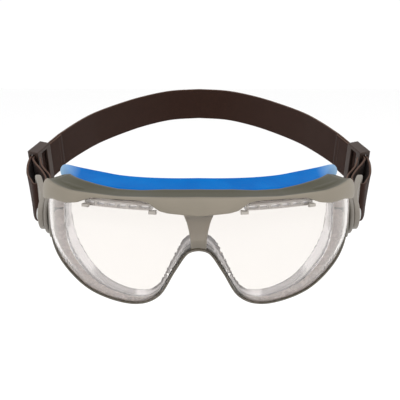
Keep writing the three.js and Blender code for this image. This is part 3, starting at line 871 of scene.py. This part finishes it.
inner_run = smooth_run([on_run(0, LAYER_GAP), (104.4, 47), (98, 39), (94.6, 30), (94.4, 25.5),
                        fold[0]], 14)
outer_run = smooth_run([fold[8], (103, 24.5), (106.4, 34), (108.6, 45), on_run(0)], 14)
back_run = smooth_run([on_run(SLIDER_RUN), (86, 105), (76, 124), (61, 144), (44, 162), (23, 176.5),
                       (0, 181)], 26)
half_strap = np.vstack([[on_run(SLIDER_RUN, LAYER_GAP)], inner_run, fold[1:], outer_run[1:], back_run])


def pitch(y):
    """How steeply the strap rises at y behind the pivots, in radians."""
    clip, rise, slide, back = PITCHES
    return np.radians(clip + (rise - clip) * smoothstep(y, 22, 40) + (slide - rise) * smoothstep(y, 40, 53)
                      + (back - slide) * smoothstep(y, 85, 120))


LINE_STEP = 0.25
turning = pitch(np.arange(LINE_STEP / 2, 190, LINE_STEP))
side_y = np.concatenate([[0], np.cumsum(np.cos(turning))]) * LINE_STEP
side_z = np.concatenate([[0], np.cumsum(np.sin(turning))]) * LINE_STEP + PIVOT_HEIGHT


def lift(points):
    """Puts points drawn level, with y behind the pivots, on the strap's rising side view."""
    y, height_up = points[..., 1], points[..., 2]
    start = np.maximum(0, np.floor(y / LINE_STEP)).astype(int)
    angle, rest = pitch(y), y - start * LINE_STEP
    return np.stack([points[..., 0],
                     side_y[start] + rest * np.cos(angle) - height_up * np.sin(angle),
                     side_z[start] + rest * np.sin(angle) + height_up * np.cos(angle)], axis=-1)


SELVEDGE = [(0, 0), (0.15, 0.45), (0.6, 0.68), (1.6, 0.6), (2.2, 0.56)]  # in from the edge, half thickness
BAND_FROM, BAND_HALF = 4, 0.58  # where the even part of the band starts, and half its thickness


def webbing(name, line, step):
    """A band on edge along a plan line, lifted with the strap; its UVs are in metres."""
    length = float(np.sum(np.linalg.norm(np.diff(line, axis=0), axis=1)))
    line = even(line, int(length / step))
    for _ in range(3):  # takes the small corners out of the line
        line[1:-1] = 0.25 * line[:-2] + 0.5 * line[1:-1] + 0.25 * line[2:]
    across = inward(line, False)
    half_w = STRAP_WIDTH / 2
    section = [(-half_w + x, y) for x, y in SELVEDGE]
    section += [(x, BAND_HALF) for x in np.linspace(-half_w + BAND_FROM, half_w - BAND_FROM, 7)]
    section += [(-x, y) for x, y in section[4::-1]]
    section += [(x, -y) for x, y in section[-2:0:-1]]
    section = np.array(section)
    rows = []
    for point, normal in zip(line, across):
        rows.append([(*(point + normal * t), h) for h, t in section])
    rows = lift(np.array(rows))
    n, m = rows.shape[:2]
    girth = np.concatenate([[0], np.cumsum(np.hypot(*np.diff(np.vstack([section, section[:1]]), axis=0).T))])
    points, faces = skin(rows)
    mesh = bpy.data.meshes.new(name)
    mesh.from_pydata((points * MM).tolist(), [], faces)
    uv = mesh.uv_layers.new(name="weave").data
    for k, polygon in enumerate(mesh.polygons):
        for loop in polygon.loop_indices:
            i, j = divmod(mesh.loops[loop].vertex_index, m)
            last = k < (n - 1) * m and k % m == m - 1 and j == 0  # the face that closes the girth
            uv[loop].uv = (i * length / (n - 1) * MM, girth[m if last else j] * MM)
    for polygon in mesh.polygons:
        polygon.use_smooth = len(polygon.vertices) == 4
    work = bmesh.new()
    work.from_mesh(mesh)
    bmesh.ops.recalc_face_normals(work, faces=work.faces)
    work.to_mesh(mesh)
    work.free()
    return stand(name, mesh), length


elastic = Nodes("brown_elastic")
weave_uv = elastic.add("ShaderNodeUVMap", uv_map="weave").outputs["UV"]
run, round_it = elastic.part(weave_uv, "X"), elastic.part(weave_uv, "Y")
CORD_PITCH, PICK_PITCH = 0.0009, 0.0007  # metres between the weave's ribs, along and across
HALF_GIRTH = 0.0128


def wave(nodes, value, period):
    """A sine ripple of a value, 0 to 1, with a period in metres."""
    return nodes.range(nodes.math("SINE", nodes.math("MULTIPLY", value, 2 * math.pi / period)), 0, 1, -1, 1)


knit = elastic.math("MULTIPLY", wave(elastic, run, CORD_PITCH), wave(elastic, round_it, PICK_PITCH))
fuzz = elastic.noise(elastic.place(), 1400, 4)
brown = elastic.ramp(fuzz, [(0.25, (0.012, 0.005, 0.003)), (0.75, (0.030, 0.012, 0.0075))])
thread = elastic.mix(knit, brown, (0.040, 0.018, 0.012))
# The band's edges are painted paler, as a highlight.
selvedge_highlight = elastic.range(elastic.math("PINGPONG", round_it, HALF_GIRTH), 1, 0, 0.0002, 0.0009)
elastic.set(Base_Color=elastic.mix(selvedge_highlight, thread, (0.10, 0.060, 0.045)),
            Roughness=elastic.range(fuzz, 0.75, 0.95), Sheen_Weight=0.05, Specular_IOR_Level=0.12)
elastic.bump(knit, 0.00012, 0.7)

strap, strap_length = webbing("head_strap_webbing", both_ways(half_strap[::-1]), 1.0)
fit_out(strap, "strap", "strap", elastic.material, "head_strap")

# Two rows of stitches behind each slider close the strap's doubled end. They show on both
# faces of the band.
STITCH = {"Count": 13, "Length": 1.3, "Thickness": 0.42}


def stitch_element(tree, given):
    """One stitch: a small ball drawn out along the row."""
    ball = tree.nodes.new("GeometryNodeMeshUVSphere")
    ball.inputs["Segments"].default_value, ball.inputs["Rings"].default_value = 8, 6
    ball.inputs["Radius"].default_value = 0.5
    size = tree.nodes.new("ShaderNodeCombineXYZ")
    for label, axis in (("Length", "X"), ("Thickness", "Y"), ("Thickness", "Z")):
        tree.links.new(given.outputs[label], size.inputs[axis])
    shaped = tree.nodes.new("GeometryNodeTransform")
    tree.links.new(ball.outputs["Mesh"], shaped.inputs["Geometry"])
    tree.links.new(size.outputs["Vector"], shaped.inputs["Scale"])
    return shaped.outputs["Geometry"]


stitch_tree = repeat_tree("stitch_rows", STITCH, stitch_element)
STITCH_ROWS = (30.6, 33.6)  # along the run through the slider
STITCH_REACH, ON_FACE = 10.5, 0.62  # half a row's length, and how far it stands off the band's middle
thread_brown = Nodes("brown_thread")
thread_place = thread_brown.place()
thread_brown.set(Base_Color=thread_brown.ramp(thread_brown.noise(thread_place, 4000, 2),
                                              [(0.3, (0.03, 0.016, 0.012)), (0.7, (0.06, 0.036, 0.028))]),
                 Roughness=thread_brown.range(thread_brown.noise(thread_place, 2500, 2), 0.55, 0.75))
thread_brown.bump(thread_brown.noise(thread_place, 5000, 2), 0.00003, 0.6)
for side_name, side in SIDES:
    rows = []
    for depth in (LAYER_GAP + ON_FACE, -ON_FACE):
        for s in STITCH_ROWS:
            x, y = on_run(s, depth)
            rows.append([(side * x, y, -STITCH_REACH), (side * x, y, STITCH_REACH)])
    mesh = grow(f"stitches_{side_name}", rows, stitch_tree, STITCH, thread_brown.material)
    bend_mesh(mesh, lambda x, y, z: lift(np.stack([x, y, z], axis=-1)))
    fit_out(stand(f"stitches_{side_name}", mesh), "strap", "strap", thread_brown.material)

SLIDER_WALL, TAIL_START = 1.8, 2.5
SLIDER_DEPTH = 2 * STRAP_THICK + 3 * STRAP_PLAY + 2 * SLIDER_WALL
tail_line = smooth_run([on_run(TAIL_START, LAYER_GAP / 2 + SLIDER_DEPTH / 2 + STRAP_PLAY + STRAP_THICK / 2),
                        (99.5, 44.5), (93.6, 36), (91.3, 27), (91.2, 19)], 14)
for side_name, side in SIDES:
    tail, tail_length = webbing(f"strap_end_{side_name}", tail_line * (side, 1), 0.8)
    fit_out(tail, f"{side_name}_slider", "strap", elastic.material, f"strap_tail_{side_name}")


# ---- Sliders ----
# A dark brown nylon slider on each side adjusts the strap's length: two windows with a
# bar between them in front, and one window behind.
slider_brown = moulded("slider_brown", (0.045, 0.028, 0.021), (0.031, 0.019, 0.015), 0.34, gloss=0.2)
SLIDER_CELL, SLIDER_EASE = 0.00025, 8
for side_name, _ in SIDES:
    slider = softened(f"slider_{side_name}", f"slider_moulding_{side_name}", SLIDER_CELL, SLIDER_EASE)
    fit_out(slider, f"{side_name}_slider", "slider", slider_brown, f"slider_{side_name}")
